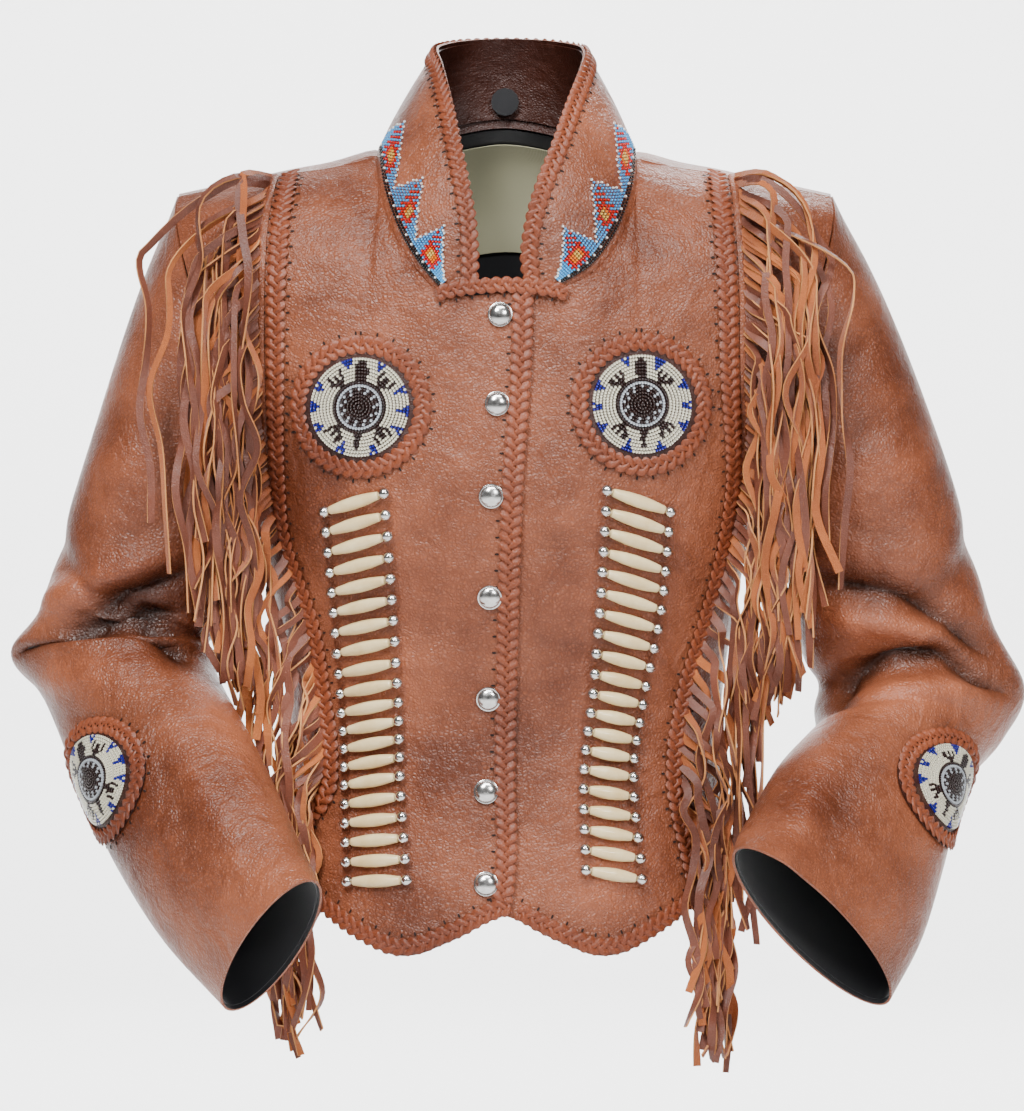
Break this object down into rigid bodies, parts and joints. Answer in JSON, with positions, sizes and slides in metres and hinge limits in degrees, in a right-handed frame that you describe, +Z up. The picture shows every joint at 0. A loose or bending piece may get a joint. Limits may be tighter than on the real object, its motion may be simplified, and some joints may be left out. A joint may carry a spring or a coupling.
{
  "type": "fringe jacket",
  "caption": "Fitted western leather jacket with stand collar, snap front, plaited lacing, long side fringe, beaded rosettes and bone hairpipe columns; worn pose, hollow.",
  "frame": {"origin": "on the centre line of the neck, level with the base of the collar, midway between the front and back of the body", "axes": "+X to the wearer's left, -Y to the front, +Z up"},
  "size_m": [0.7101, 0.3328, 0.7163],
  "materials": {
    "leather": "semi-gloss grain",
    "braid": "plaited lacing",
    "suede": "suede",
    "satin": "satin",
    "cream": "woven",
    "bone": "polished bone",
    "silver": "polished",
    "beads": "glass beadwork"
  },
  "bodies": {
    "root": {"back": "leather", "bead_strip_left": "beads", "bead_strip_right": "beads", "braid_collar": "braid", "braid_front_edge": "braid", "braid_hem_left": "braid", "braid_hem_right": "braid", "braid_seam_left": "braid", "braid_seam_right": "braid", "collar": "leather", "collar_facing": "leather", "cuff_lining_left": "satin", "cuff_lining_right": "satin", "fringe_left": "suede", "fringe_right": "suede", "front_left": "leather", "front_right": "leather", "hairpipes_left_01": "bone", "hairpipes_left_02": "bone", "hairpipes_left_03": "bone", "hairpipes_left_04": "bone", "hairpipes_left_05": "bone", "hairpipes_left_06": "bone", "hairpipes_left_07": "bone", "hairpipes_left_08": "bone", "hairpipes_left_09": "bone", "hairpipes_left_10": "bone", "hairpipes_right_01": "bone", "hairpipes_right_02": "bone", "hairpipes_right_03": "bone", "hairpipes_right_04": "bone", "hairpipes_right_05": "bone", "hairpipes_right_06": "bone", "hairpipes_right_07": "bone", "hairpipes_right_08": "bone", "hairpipes_right_09": "bone", "hairpipes_right_10": "bone", "label": "cream", "neck_lining": "satin", "rosette_chest_left": "beads", "rosette_chest_right": "beads", "rosette_sleeve_left": "beads", "rosette_sleeve_right": "beads", "side_left": "leather", "side_right": "leather", "size_tab": "cream", "sleeve_left": "leather", "sleeve_right": "leather", "snap_1": "silver", "snap_2": "silver", "snap_3": "silver", "snap_4": "silver", "snap_5": "silver", "snap_6": "silver", "snap_7": "silver"}
  },
  "joints": []
}
